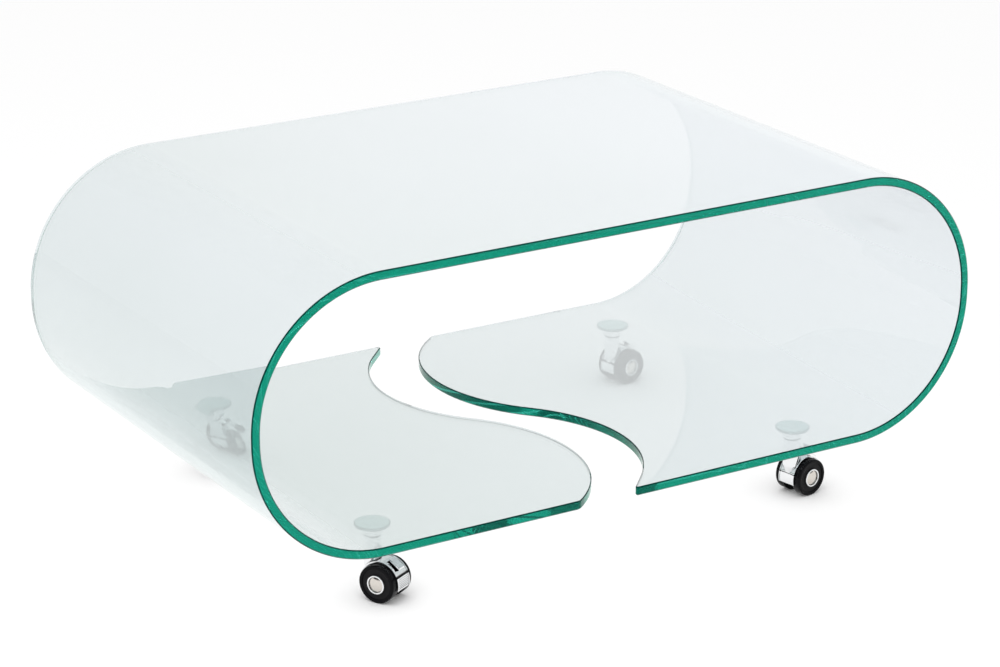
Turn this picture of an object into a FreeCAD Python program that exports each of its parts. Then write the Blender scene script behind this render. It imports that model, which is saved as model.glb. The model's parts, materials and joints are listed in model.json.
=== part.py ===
import FreeCAD, Part

import math
import os
import re

import Sketcher

# A coffee table made of one bent sheet of glass: a long loop whose underside is cut by an S
# into two leaves. Four twin-wheel castors are bonded under the leaves.
# Frame: +X along the table, +Y towards its rear face, +Z up, origin on the floor at its centre.

# Driving sizes: millimetres, and degrees for the turns.
SIZES = {
    # Glass loop
    "table_length": 900,
    "table_depth": 528,
    "loop_height": 306,
    "glass_thickness": 10,
    "bend_flat": 8,
    "ground_gap": 75,
    "edge_bevel": 0.8,
    # S-shaped cut between the two leaves
    "lobe_radius": 182,
    "lobe_reach": 10,
    "hollow_radius": 171,
    "arc_setback": 147,
    "hollow_run": 29,
    "cut_overrun": 1,
    "cut_run_out": 60,
    "tip_round": 3,
    "lobe_round": 9,
    # Castors: where each is bonded, and the way it trails at rest
    "front_left_inset": 174,
    "front_left_setback": 71.5,
    "front_left_trail_angle": -62,
    "front_right_inset": 189,
    "front_right_setback": 65.5,
    "front_right_trail_angle": 10,
    "rear_left_inset": 187,
    "rear_left_setback": 75,
    "rear_left_trail_angle": 34,
    "rear_right_inset": 171.5,
    "rear_right_setback": 73,
    "rear_right_trail_angle": 9,
    # Bonding plate and its film of adhesive
    "film_diameter": 36,
    "film_thickness": 0.2,
    "plate_diameter": 38,
    "plate_thickness": 3,
    "plate_bevel": 0.8,
    "collar_diameter": 20,
    "collar_height": 9.6,
    "collar_bevel": 0.6,
    # Swivel: stem, flanged bush and retaining ring
    "stem_diameter": 8,
    "thread_diameter": 8,
    "thread_length": 11,
    "stem_tail": 2.5,
    "thrust_clearance": 0.1,
    "running_clearance": 0.05,
    "bush_wall": 1.4,
    "bush_length": 19.4,
    "flange_diameter": 16.4,
    "flange_thickness": 0.8,
    "ring_thickness": 0.8,
    "ring_diameter": 10.3,
    "ring_groove_depth": 0.8,
    "ring_mouth": 4,
    "bore_end_clearance": 1,
    # Hood
    "castor_trail": 15.4,
    "column_diameter": 19,
    "column_taper_top": 15,
    "column_taper_end": 0,
    "column_foot_diameter": 8,
    "column_bevel": 0.6,
    "hood_width": 22.4,
    "hood_wall": 1.2,
    "hood_drop": 6.2,
    "wheel_clearance": 0.6,
    "lip_width": 1.2,
    "lip_height": 0.4,
    "web_width": 11,
    "web_end": 3.5,
    "axle_boss_diameter": 12,
    "axle_boss_width": 12.8,
    "slot_width": 11.6,
    "slot_low_angle": 38,
    "slot_high_angle": 76,
    "rib_count": 6,
    "rib_top_angle": 16,
    "rib_step_angle": 5,
    "rib_wide_angle": 2,
    "rib_depth": 0.4,
    # Wheels and hub caps
    "wheel_radius": 21,
    "wheel_face": 18.3,
    "wheel_width": 11.6,
    "wheel_round": 1.4,
    "tread_bevel": 0.5,
    "rim_width": 2.8,
    "rim_step": 1,
    "rim_depth": 4,
    "disc_thickness": 4,
    "drum_radius": 9,
    "cap_radius": 10.3,
    "cap_proud": 1.1,
    "cap_wall": 1.1,
    "cap_lip": 1.6,
    "cap_dish": 0.5,
    "cap_seat_depth": 3.5,
    # Axle and its retaining rings
    "axle_diameter": 6,
    "axle_tail": 0.9,
    "axle_ring_diameter": 11,
    "axle_ring_thickness": 0.8,
    "axle_groove_depth": 0.4,
    "axle_ring_mouth": 3,
    # Brake lever and its pin
    "pin_diameter": 3,
    "pivot_height": 14,
    "lever_width": 6.6,
    "lever_hub_diameter": 6,
    "lever_side_gap": 0.4,
    "lever_hub_gap": 1.4,
    "arm_depth": 5.2,
    "neck_width": 3.6,
    "shoe_width": 18.6,
    "shoe_size": 3,
    "shoe_lift": 1.8,
    "shoe_forward": 6.2,
    "pedal_width": 10,
    "pedal_thickness": 1.8,
    "pedal_rise": 3,
    "pedal_start": 8.4,
    "pedal_reach": 20.4,
    "pedal_drop": 8.5,
}

# Sizes that follow from the driving ones.
DERIVED = {
    "half_depth": "table_depth / 2",
    "bend_radius": "(loop_height - bend_flat) / 2",
    "arc_offset": "half_depth - arc_setback",
    "lobe_sweep": "arc_setback + cut_overrun",
    "hollow_sweep": "arc_setback - hollow_run",
    "lobe_centre": "lobe_radius - lobe_reach",
    "arc_pitch": "lobe_radius + hollow_radius",
    "hollow_centre": "sqrt(arc_pitch ^ 2 - (2 * arc_offset) ^ 2) - lobe_centre",
    "joint_x": "hollow_centre - (hollow_centre + lobe_centre) * hollow_radius / arc_pitch",
    "joint_y": "arc_offset - 2 * arc_offset * hollow_radius / arc_pitch",
    "plate_top": "ground_gap - film_thickness",
    "plate_foot": "plate_top - plate_thickness",
    "collar_foot": "plate_foot - collar_height",
    "flange_top": "collar_foot - thrust_clearance",
    "column_top": "flange_top - flange_thickness",
    "bush_foot": "flange_top - bush_length",
    "bush_radius": "stem_diameter / 2 + running_clearance + bush_wall",
    "ring_top": "bush_foot - thrust_clearance",
    "ring_foot": "ring_top - ring_thickness",
    "ring_seat": "stem_diameter / 2 - ring_groove_depth",
    "stem_foot": "ring_foot - stem_tail",
    "bore_foot": "stem_foot - bore_end_clearance",
    "hood_bore": "wheel_radius + wheel_clearance",
    "hood_radius": "hood_bore + hood_wall",
    "wheel_back": "wheel_face - wheel_width",
    "cap_seat": "wheel_face - cap_seat_depth",
    "hollow_floor": "wheel_face - rim_step - disc_thickness",
    "axle_ring_back": "cap_seat + thrust_clearance",
    "axle_half": "axle_ring_back + axle_ring_thickness + axle_tail",
    "pedal_foot": "sqrt((hood_radius + pedal_rise) ^ 2 - pedal_start ^ 2)",
    "hub_room": "lever_hub_diameter / 2 + lever_hub_gap",
    "shoe_height": "sqrt((drum_radius + shoe_lift + shoe_size / 2) ^ 2 - shoe_forward ^ 2)",
}

CORNERS = ("front_left", "front_right", "rear_left", "rear_right")
ORIGIN, UPRIGHT = range(-1, -3, -1)  # geometry numbers of a sketch's two axes, the first its origin too
START, END, CENTRE = range(1, 4)  # points of a line, arc or circle
TOUCH = 1e-6  # within this two places are the same

doc = FreeCAD.newDocument("waterfall_coffee_table")
parts = []


def bound(text):
    """The expression with every size's name written as its cell, and derived names worked out."""
    def cell(match):
        name = match[0]
        if name in DERIVED:
            return "(" + bound(DERIVED[name]) + ")"
        return "Sizes." + name if name in SIZES else name
    return re.sub(r"[a-z]\w*", cell, text)


def make_sheet():
    """The spreadsheet with one named cell for each driving size."""
    sheet = doc.addObject("Spreadsheet::Sheet", "Sizes")
    for row, (name, value) in enumerate(SIZES.items(), start=1):
        sheet.set(f"A{row}", name)
        sheet.set(f"B{row}", str(value))
        sheet.setAlias(f"B{row}", name)
    doc.recompute()
    return sheet


def value(text):
    """What an expression comes to with the sheet's present cells."""
    return float(sheet.evalExpression(bound(text)))


def plane_of(body, name):
    """One of a body's own origin planes or axes."""
    return next(item for item in body.Origin.OriginFeatures if item.Role == name)


def new_body(label):
    """A body that is one of the table's sub-parts."""
    body = doc.addObject("PartDesign::Body", label)
    body.Label = label
    parts.append(body)
    return body


def new_sketch(body, name, plane, **offset):
    """A sketch in one of the body's origin planes, moved by the expressions in offset."""
    sketch = body.newObject("Sketcher::SketchObject", name)
    sketch.AttachmentSupport = [(plane_of(body, plane), "")]
    sketch.MapMode = "FlatFace"
    for axis, text in offset.items():
        sketch.setExpression(f"AttachmentOffset.Base.{axis}", bound(text))
    return sketch


def fix(sketch, kind, text, *ends):
    """A dimension of a sketch, bound to an expression."""
    number = sketch.addConstraint(Sketcher.Constraint(kind, *ends, value(text)))
    sketch.setExpression(f"Constraints[{number}]", bound(text))


def fix_point(sketch, item, end, across=None, upward=None):
    """Holds a point at its distances from the sketch's origin."""
    for kind, text, axis in (("DistanceX", across, UPRIGHT), ("DistanceY", upward, ORIGIN)):
        if text == "0":
            sketch.addConstraint(Sketcher.Constraint("PointOnObject", item, end, axis))
        elif text is not None:
            fix(sketch, kind, text, ORIGIN, START, item, end)


def draw_polygon(sketch, corners):
    """A closed outline of straight edges with a pair of expressions for each corner."""
    spots = [FreeCAD.Vector(value(across), value(upward), 0) for across, upward in corners]
    count = len(spots)
    for number, spot in enumerate(spots):
        sketch.addGeometry(Part.LineSegment(spot, spots[(number + 1) % count]))
    for number, corner in enumerate(corners):
        following = (number + 1) % count
        sketch.addConstraint(Sketcher.Constraint("Coincident", number, END, following, START))
        fix_point(sketch, number, START, *corner)
    return sketch


def draw_box(sketch, left, right, low, high):
    """A closed rectangle between four expressions."""
    return draw_polygon(sketch, [(left, low), (right, low), (right, high), (left, high)])


def draw_circle(sketch, radius, across="0", upward="0"):
    """A circle whose radius and centre are expressions."""
    centre = FreeCAD.Vector(value(across), value(upward), 0)
    item = sketch.addGeometry(Part.Circle(centre, FreeCAD.Vector(0, 0, 1), value(radius)))
    fix(sketch, "Radius", radius, item)
    fix_point(sketch, item, CENTRE, across, upward)
    return sketch


def polar(radius, angle):
    """The expressions of a point at a radius and an angle in degrees."""
    return f"({radius}) * cos({angle} * 1 deg)", f"({radius}) * sin({angle} * 1 deg)"


def new_feature(body, kind, name, sketch, **sizes):
    """A PartDesign feature on a sketch, with its sizes bound to expressions."""
    feature = body.newObject(f"PartDesign::{kind}", name)
    feature.Profile = sketch
    for size, text in sizes.items():
        feature.setExpression(size, bound(text))
    return feature


def pad(body, name, sketch, length, symmetric=False):
    """Raises a sketch into solid."""
    feature = new_feature(body, "Pad", name, sketch, Length=length)
    feature.SideType = "Symmetric" if symmetric else "One side"
    doc.recompute()
    return feature


def revolve(body, name, sketch, axis="V_Axis"):
    """Turns a sketch once round into solid."""
    feature = new_feature(body, "Revolution", name, sketch)
    feature.ReferenceAxis = (sketch, [axis])
    feature.Angle = 360
    doc.recompute()
    return feature


def must_remove(body, feature, before):
    """Stops the build if a cut took nothing away."""
    doc.recompute()
    if feature.Shape.Volume > before - TOUCH:
        raise RuntimeError(f"{body.Label}: {feature.Label} cuts nothing")
    return feature


def pocket(body, name, sketch, length, symmetric=True, backwards=False):
    """Cuts a sketch out of the solid."""
    before = body.Shape.Volume
    feature = new_feature(body, "Pocket", name, sketch, Length=length)
    feature.SideType = "Symmetric" if symmetric else "One side"
    feature.Reversed = backwards
    return must_remove(body, feature, before)


def groove(body, name, sketch, axis="V_Axis"):
    """Cuts a sketch turned once round out of the solid."""
    before = body.Shape.Volume
    feature = new_feature(body, "Groove", name, sketch)
    feature.ReferenceAxis = (sketch, [axis])
    feature.Angle = 360
    return must_remove(body, feature, before)


def dress_edges(body, kind, name, wanted, size):
    """A fillet or chamfer on the edges of the body's last shape that wanted picks."""
    base = body.Tip
    names = [f"Edge{number}" for number, edge in enumerate(base.Shape.Edges, start=1) if wanted(edge)]
    feature = body.newObject(f"PartDesign::{kind}", name)
    feature.Base = (base, names)
    feature.setExpression("Radius" if kind == "Fillet" else "Size", bound(size))
    doc.recompute()
    return feature


def is_upright(edge):
    """True for a straight edge that runs up and down."""
    along = edge.Vertexes[-1].Point - edge.Vertexes[0].Point
    return len(edge.Vertexes) == 2 and abs(along.x) < TOUCH and abs(along.y) < TOUCH


# ---------------------------------------------------------------- places of the castors

def stand_at_swivel(item, corner, height="0"):
    """Places a piece on a castor's swivel axis, turned with that castor."""
    along = -1 if "left" in corner else 1
    across = -1 if "front" in corner else 1
    place(item, f"{along} * (table_length / 2 - {corner}_inset)",
          f"{across} * (table_depth / 2 - {corner}_setback)", height, f"{corner}_trail_angle")


def stand_at_axle(item, corner, turn="0"):
    """Places a piece at the middle of a castor's axle, turned with that castor."""
    along = -1 if "left" in corner else 1
    across = -1 if "front" in corner else 1
    trail_x, trail_y = polar("castor_trail", f"{corner}_trail_angle")
    place(item, f"{along} * (table_length / 2 - {corner}_inset) + {trail_x}",
          f"{across} * (table_depth / 2 - {corner}_setback) + {trail_y}",
          "wheel_radius", f"{corner}_trail_angle + {turn}")


def place(item, along, across, height, turn):
    """Binds a piece's placement to expressions."""
    item.setExpression("Placement.Base.x", bound(along))
    item.setExpression("Placement.Base.y", bound(across))
    item.setExpression("Placement.Base.z", bound(height))
    item.setExpression("Placement.Rotation.Angle", f"({bound(turn)}) * 1 deg")


# ---------------------------------------------------------------- glass

def draw_loop(sketch, inward):
    """The loop's side outline, moved inwards by an expression: four sides and four round corners."""
    right, top = f"table_length / 2 - {inward}", f"loop_height - {inward}"
    radius = f"bend_radius - {inward}"
    reach, rise, turn = value(right), value(top), value(radius)
    low = value(inward)
    middles = [(reach - turn, low + turn), (reach - turn, rise - turn),
               (turn - reach, rise - turn), (turn - reach, low + turn)]
    first = sketch.GeometryCount
    for quarter, (across, upward) in enumerate(middles):
        circle = Part.Circle(FreeCAD.Vector(across, upward, 0), FreeCAD.Vector(0, 0, 1), turn)
        start = math.radians(90 * (quarter - 1))
        sketch.addGeometry(Part.ArcOfCircle(circle, start, start + math.radians(90)))
    for quarter in range(4):
        arc, following = first + quarter, first + (quarter + 1) % 4
        side = sketch.addGeometry(Part.LineSegment(
            sketch.getPoint(arc, END), sketch.getPoint(following, START)))
        sketch.addConstraint(Sketcher.Constraint("Tangent", arc, END, side, START))
        sketch.addConstraint(Sketcher.Constraint("Tangent", side, END, following, START))
        sketch.addConstraint(Sketcher.Constraint("Horizontal" if quarter % 2 else "Vertical", side))
        if quarter == 0:
            fix(sketch, "Radius", radius, arc)
        else:
            sketch.addConstraint(Sketcher.Constraint("Equal", first, arc))
    fix_point(sketch, first, END, across=right)
    fix_point(sketch, first, START, upward=inward)
    fix_point(sketch, first + 2, START, upward=top)
    fix_point(sketch, first + 2, END, across=f"-({right})")


def draw_leaf_edge(sketch, side):
    """One leaf's S: a hollow arc and a lobe arc, tangent, each with a straight run-out.

    side is 1 for the left leaf's edge and -1 for the right leaf's, the same curve turned about
    the table's centre.
    """
    first = sketch.GeometryCount
    arcs = (("hollow_centre", "arc_offset", "hollow_radius", "hollow_sweep", 1),
            ("-lobe_centre", "-arc_offset", "lobe_radius", "lobe_sweep", -1))
    joint = FreeCAD.Vector(value("joint_x"), value("joint_y"), 0) * side
    for number, (across, upward, radius, sweep, way) in enumerate(arcs):
        centre = FreeCAD.Vector(value(across), value(upward), 0)
        rise = way * value(sweep)
        reach = value(f"sqrt({radius} ^ 2 - {sweep} ^ 2)")
        tip = centre + FreeCAD.Vector(-way * reach, rise, 0)
        middle = centre - FreeCAD.Vector(way * value(radius), 0, 0)
        arc = sketch.addGeometry(Part.Arc(tip * side, middle * side, joint))
        run_out = FreeCAD.Vector(rise, way * reach, 0).normalize()
        run_out = run_out * (value("cut_run_out") / abs(run_out.y)) * (1 if way * run_out.y > 0 else -1)
        at_tip = START if (sketch.getPoint(arc, START) - tip * side).Length < TOUCH else END
        at_joint = END if at_tip == START else START
        line = sketch.addGeometry(Part.LineSegment(tip * side, (tip + run_out) * side))
        fix_point(sketch, arc, CENTRE, f"{side} * ({across})", f"{side} * ({upward})")
        if number == 0:
            fix_point(sketch, arc, at_joint, f"{side} * joint_x", f"{side} * joint_y")
            joint_end = (arc, at_joint)
        else:
            sketch.addConstraint(Sketcher.Constraint("Coincident", arc, at_joint, *joint_end))
        fix_point(sketch, arc, at_tip, upward=f"{side * way} * (arc_offset + {sweep})")
        sketch.addConstraint(Sketcher.Constraint("Tangent", arc, at_tip, line, START))
        fix_point(sketch, line, END, upward=f"{side * way} * (arc_offset + {sweep} + cut_run_out)")
    return first + 1, first + 3


def make_glass():
    """The bent sheet: the closed loop, then the S cut through its underside, then its soft edges."""
    body = new_body("glass_sheet")
    side = new_sketch(body, "glass_side", "XZ_Plane")
    draw_loop(side, "0")
    draw_loop(side, "glass_thickness")
    pad(body, "glass_bend", side, "table_depth", symmetric=True)
    cut = new_sketch(body, "glass_cut_outline", "XY_Plane")
    left_far, left_near = draw_leaf_edge(cut, 1)
    right_near, right_far = draw_leaf_edge(cut, -1)
    for one, other in ((left_far, right_far), (left_near, right_near)):
        cross = cut.addGeometry(Part.LineSegment(cut.getPoint(one, END), cut.getPoint(other, END)))
        cut.addConstraint(Sketcher.Constraint("Coincident", cross, START, one, END))
        cut.addConstraint(Sketcher.Constraint("Coincident", cross, END, other, END))
    pocket(body, "glass_cut", cut, "2 * glass_thickness", symmetric=False, backwards=True)

    def is_corner(edge):
        """True at a leaf's two corners, where its S meets the front and rear faces."""
        box = edge.BoundBox
        low = box.ZMax < value("glass_thickness") + TOUCH
        return is_upright(edge) and low and abs(abs(box.YMin) - value("half_depth")) < TOUCH

    def lean(edge):
        """How far a corner lies towards the lobe's side of its own face."""
        spot = edge.Vertexes[0].Point
        return math.copysign(1, spot.y) * spot.x

    leans = [lean(edge) for edge in body.Shape.Edges if is_corner(edge)]
    middle = sum(leans) / len(leans)

    def is_tip(edge):
        return is_corner(edge) and lean(edge) < middle

    def is_lobe_corner(edge):
        return is_corner(edge) and lean(edge) > middle

    def is_rim(edge):
        return not is_upright(edge) and edge.BoundBox.YLength < value("table_depth") - TOUCH

    dress_edges(body, "Fillet", "glass_tips", is_tip, "tip_round")
    dress_edges(body, "Fillet", "glass_lobe_corners", is_lobe_corner, "lobe_round")
    dress_edges(body, "Chamfer", "glass_arris", is_rim, "edge_bevel")
    place(body, "0", "0", "ground_gap", "0")
    return body


# ---------------------------------------------------------------- bonding plate and swivel

def make_film(corner):
    """The film of clear adhesive between glass and plate."""
    film = doc.addObject("Part::Cylinder", f"{corner}_adhesive_film")
    film.Label = f"{corner}_adhesive_film"
    film.setExpression("Radius", bound("film_diameter / 2"))
    film.setExpression("Height", bound("film_thickness"))
    parts.append(film)
    stand_at_swivel(film, corner, "plate_top")


def turned(label, corner, profile, height="0"):
    """A turned piece on the swivel axis; profile has radius and height pairs."""
    body = new_body(label)
    sketch = draw_polygon(new_sketch(body, f"{label}_profile", "XZ_Plane"), profile)
    revolve(body, f"{label}_turned", sketch)
    stand_at_swivel(body, corner, height)
    return body


def make_plate(corner):
    """The round bonding plate with the collar that the stem screws into."""
    rim, collar = "plate_diameter / 2", "collar_diameter / 2"
    bore, bore_top = "thread_diameter / 2", "collar_foot + thread_length"
    turned(f"{corner}_bonding_plate", corner, [
        ("0", "plate_top"), (rim, "plate_top"), (rim, "plate_foot + plate_bevel"),
        (f"{rim} - plate_bevel", "plate_foot"), (collar, "plate_foot"),
        (collar, "collar_foot + collar_bevel"), (f"{collar} - collar_bevel", "collar_foot"),
        (bore, "collar_foot"), (bore, bore_top), ("0", bore_top)])


def make_stem(corner):
    """The swivel stem: threaded above, running in the bush below, with a groove for its ring."""
    shank, thread = "stem_diameter / 2", "thread_diameter / 2"
    turned(f"{corner}_swivel_stem", corner, [
        ("0", "collar_foot + thread_length"), (thread, "collar_foot + thread_length"),
        (thread, "collar_foot"), (shank, "flange_top"), (shank, "ring_top"),
        ("ring_seat", "ring_top"), ("ring_seat", "ring_foot"), (shank, "ring_foot"),
        (shank, "stem_foot + stem_tail / 2"), ("ring_seat", "stem_foot"), ("0", "stem_foot")])


def make_bush(corner):
    """The flanged plain bush that carries the castor round its stem."""
    inner, outer = "stem_diameter / 2 + running_clearance", "bush_radius"
    turned(f"{corner}_swivel_bush", corner, [
        (inner, "flange_top"), ("flange_diameter / 2", "flange_top"),
        ("flange_diameter / 2", "column_top"), (outer, "column_top"),
        (outer, "bush_foot"), (inner, "bush_foot")])


def cut_mouth(body, label, plane, width, length, depth, **offset):
    """Opens a ring on one side, so that it can be sprung into its groove."""
    mouth = new_sketch(body, f"{label}_mouth_outline", plane, **offset)
    draw_box(mouth, "0", length, f"-{width} / 2", f"{width} / 2")
    return pocket(body, f"{label}_mouth", mouth, depth)


def make_stem_ring(corner):
    """The spring ring in the stem's groove, under the bush."""
    label = f"{corner}_stem_ring"
    body = new_body(label)
    ring = draw_circle(new_sketch(body, f"{label}_outline", "XY_Plane"), "ring_diameter / 2")
    draw_circle(ring, "ring_seat")
    pad(body, f"{label}_blank", ring, "ring_thickness")
    cut_mouth(body, label, "XY_Plane", "ring_mouth", "ring_diameter", "4 * ring_thickness")
    stand_at_swivel(body, corner, "ring_foot")


# ---------------------------------------------------------------- hood

def make_column(body, label):
    """The upright column round the swivel, tapering into the front of the hood."""
    side, foot = "column_diameter / 2", "column_foot_diameter / 2"
    top = "column_top - wheel_radius"
    profile = new_sketch(body, f"{label}_column_profile", "XZ_Plane", x="-castor_trail")
    draw_polygon(profile, [
        ("0", top), (f"{side} - column_bevel", top), (side, f"{top} - column_bevel"),
        (side, "column_taper_top"), (foot, "column_taper_end"), ("0", "column_taper_end")])
    revolve(body, f"{label}_column", profile)


def make_web(body, label):
    """The wall between the two wheels, from the front of the hood to just past the axle."""
    radius = "(hood_bore + hood_wall / 2)"
    web = new_sketch(body, f"{label}_web_outline", "XZ_Plane")
    low = f"sqrt({radius} ^ 2 - hood_drop ^ 2)"
    start = FreeCAD.Vector(value("web_end"), value(f"sqrt({radius} ^ 2 - web_end ^ 2)"), 0)
    end = FreeCAD.Vector(-value(low), -value("hood_drop"), 0)
    corner = FreeCAD.Vector(value("web_end"), -value("hood_drop"), 0)
    arc = web.addGeometry(Part.Arc(start, FreeCAD.Vector(-value(radius), 0, 0), end))
    at_start = START if (web.getPoint(arc, START) - start).Length < TOUCH else END
    at_end = END if at_start == START else START
    floor = web.addGeometry(Part.LineSegment(end, corner))
    back = web.addGeometry(Part.LineSegment(corner, start))
    web.addConstraint(Sketcher.Constraint("Coincident", arc, at_end, floor, START))
    web.addConstraint(Sketcher.Constraint("Coincident", floor, END, back, START))
    web.addConstraint(Sketcher.Constraint("Coincident", back, END, arc, at_start))
    fix_point(web, arc, CENTRE, "0", "0")
    fix(web, "Radius", radius, arc)
    fix_point(web, arc, at_start, across="web_end")
    fix_point(web, arc, at_end, upward="-hood_drop")
    fix_point(web, floor, END, "web_end", "-hood_drop")
    pad(body, f"{label}_web", web, "web_width", symmetric=True)


def make_hood(corner):
    """The cast hood: a fender over both wheels, the swivel column, a web and the axle's boss."""
    label = f"{corner}_castor_hood"
    body = new_body(label)
    drum = draw_circle(new_sketch(body, f"{label}_drum_outline", "XZ_Plane"), "hood_radius")
    pad(body, f"{label}_drum", drum, "hood_width", symmetric=True)
    lips = draw_circle(new_sketch(body, f"{label}_lip_outline", "XZ_Plane"), "hood_radius + lip_height")
    pad(body, f"{label}_lips", lips, "hood_width", symmetric=True)
    band = new_sketch(body, f"{label}_band_outline", "XZ_Plane")
    draw_circle(band, "hood_radius + 2 * lip_height")
    draw_circle(band, "hood_radius")
    pocket(body, f"{label}_band", band, "hood_width - 2 * lip_width")
    make_column(body, label)
    room = draw_circle(new_sketch(body, f"{label}_wheel_room_outline", "XZ_Plane"), "hood_bore")
    pocket(body, f"{label}_wheel_room", room, "2 * hood_width")
    foot = new_sketch(body, f"{label}_open_foot_outline", "XZ_Plane")
    far = "2 * hood_radius"
    draw_box(foot, f"-{far}", far, f"-{far}", "-hood_drop")
    pocket(body, f"{label}_open_foot", foot, "2 * hood_width")
    make_web(body, label)
    boss = draw_circle(new_sketch(body, f"{label}_boss_outline", "XZ_Plane"), "axle_boss_diameter / 2")
    pad(body, f"{label}_boss", boss, "axle_boss_width", symmetric=True)

    slot = new_sketch(body, f"{label}_slot_outline", "XZ_Plane")
    near, beyond = "hood_bore - 4 * wheel_clearance", "2 * hood_radius"
    draw_polygon(slot, [polar(near, "slot_low_angle"), polar(beyond, "slot_low_angle"),
                        polar(beyond, "slot_high_angle"), polar(near, "slot_high_angle")])
    pocket(body, f"{label}_slot", slot, "slot_width")
    yoke = new_sketch(body, f"{label}_yoke_outline", "XZ_Plane")
    draw_box(yoke, "-hub_room", "2 * web_end", "pivot_height - hub_room", "pivot_height + hub_room")
    pocket(body, f"{label}_yoke", yoke, "lever_width + 2 * lever_side_gap")
    pin = new_sketch(body, f"{label}_pin_hole_outline", "XZ_Plane")
    draw_circle(pin, "pin_diameter / 2", "0", "pivot_height")
    pocket(body, f"{label}_pin_hole", pin, "2 * web_width")
    axle = draw_circle(new_sketch(body, f"{label}_axle_hole_outline", "XZ_Plane"), "axle_diameter / 2")
    pocket(body, f"{label}_axle_hole", axle, "2 * axle_boss_width")

    bore = new_sketch(body, f"{label}_bore_profile", "XZ_Plane", x="-castor_trail")
    draw_box(bore, "0", "bush_radius", "bore_foot - wheel_radius", "column_top - wheel_radius")
    groove(body, f"{label}_bore", bore)
    make_ribs(body, label)
    stand_at_axle(body, corner)


def make_ribs(body, label):
    """Fine grooves across the back of the hood, one cut repeated downwards round the axle."""
    sketch = new_sketch(body, f"{label}_rib_outline", "XZ_Plane")
    near, beyond = "hood_radius - rib_depth", "hood_radius + lip_width"
    low, high = "(rib_top_angle - rib_wide_angle / 2)", "(rib_top_angle + rib_wide_angle / 2)"
    draw_polygon(sketch, [polar(near, low), polar(beyond, low), polar(beyond, high), polar(near, high)])
    cut = pocket(body, f"{label}_rib", sketch, "hood_width - 4 * lip_width")
    pattern = body.newObject("PartDesign::PolarPattern", f"{label}_ribs")
    pattern.Originals = [cut]
    pattern.Axis = (plane_of(body, "Y_Axis"), [""])
    pattern.Mode = "Spacing"
    pattern.setExpression("Offset", f"{bound('rib_step_angle')} * 1 deg")
    pattern.setExpression("Occurrences", bound("rib_count"))
    body.Tip = pattern
    doc.recompute()


# ---------------------------------------------------------------- axle, wheels and caps

def make_axle(corner):
    """The axle, pressed through the hood's boss, with a groove near each end."""
    label = f"{corner}_axle"
    body = new_body(label)
    radius, seat = "axle_diameter / 2", "axle_diameter / 2 - axle_groove_depth"
    ring_face = "axle_ring_back + axle_ring_thickness"
    half = [("axle_half", "0"), ("axle_half", seat), (ring_face, radius), (ring_face, seat),
            ("axle_ring_back", seat), ("axle_ring_back", radius)]
    other = [(f"-({along})", out) for along, out in reversed(half)]
    sketch = draw_polygon(new_sketch(body, f"{label}_profile", "YZ_Plane"), half + other)
    revolve(body, f"{label}_turned", sketch, "H_Axis")
    stand_at_axle(body, corner)


def make_axle_rings(corner):
    """The two spring rings that keep the wheels on the axle."""
    label = f"{corner}_axle_rings"
    body = new_body(label)
    body.AllowCompound = True
    sketch = new_sketch(body, f"{label}_outline", "XZ_Plane", z="axle_ring_back")
    draw_circle(sketch, "axle_ring_diameter / 2")
    draw_circle(sketch, "axle_diameter / 2 - axle_groove_depth")
    blank = pad(body, f"{label}_blank", sketch, "axle_ring_thickness")
    mouth = cut_mouth(body, label, "XZ_Plane", "axle_ring_mouth", "axle_ring_diameter",
                      "4 * axle_ring_thickness", z="axle_ring_back")
    mirror = body.newObject("PartDesign::Mirrored", f"{label}_pair")
    mirror.Originals = [blank, mouth]
    mirror.MirrorPlane = (plane_of(body, "XZ_Plane"), [""])
    body.Tip = mirror
    doc.recompute()
    stand_at_axle(body, corner)


def make_wheel(corner, side, turn):
    """A moulded wheel: tread and stepped rim, disc, inner brake drum and the seat of its cap."""
    label = f"{corner}_wheel_{side}"
    body = new_body(label)
    bore = "axle_diameter / 2 + running_clearance"
    rim = "wheel_radius - wheel_round - rim_width"
    sketch = draw_polygon(new_sketch(body, f"{label}_profile", "YZ_Plane"), [
        ("wheel_back", bore), ("wheel_back", "drum_radius"), ("hollow_floor", "drum_radius"),
        ("hollow_floor", "wheel_radius - rim_depth"), ("wheel_back", "wheel_radius - rim_depth"),
        ("wheel_back", "wheel_radius - tread_bevel"), ("wheel_back + tread_bevel", "wheel_radius"),
        ("wheel_face", "wheel_radius"), ("wheel_face", rim),
        ("wheel_face - rim_step", f"{rim} - rim_step / 2"), ("wheel_face - rim_step / 2", "cap_radius"),
        ("cap_seat", "cap_radius"), ("cap_seat", bore)])
    revolve(body, f"{label}_moulded", sketch, "H_Axis")

    def is_outer_corner(edge):
        box = edge.BoundBox
        outermost = box.YMin > value("wheel_face") - TOUCH
        return outermost and box.ZMax > value("wheel_radius") - TOUCH

    dress_edges(body, "Fillet", f"{label}_shoulder", is_outer_corner, "wheel_round")
    stand_at_axle(body, corner, turn)


def make_cap(corner, side, turn):
    """The bright hub cap: a shallow cup with a raised lip round a dished face."""
    label = f"{corner}_hub_cap_{side}"
    body = new_body(label)
    face, wall = "wheel_face + cap_proud", "cap_radius - cap_wall"
    sketch = draw_polygon(new_sketch(body, f"{label}_profile", "YZ_Plane"), [
        ("cap_seat", wall), ("cap_seat", "cap_radius"), (f"{face} - cap_dish", "cap_radius"),
        (face, "cap_radius - cap_dish"), (face, "cap_radius - cap_lip"),
        (f"{face} - cap_dish", "cap_radius - cap_lip - cap_dish"), (f"{face} - cap_dish / 2", "0"),
        (f"{face} - cap_dish - cap_wall", "0"), (f"{face} - cap_dish - cap_wall", wall)])
    revolve(body, f"{label}_pressed", sketch, "H_Axis")
    stand_at_axle(body, corner, turn)


# ---------------------------------------------------------------- brake

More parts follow.
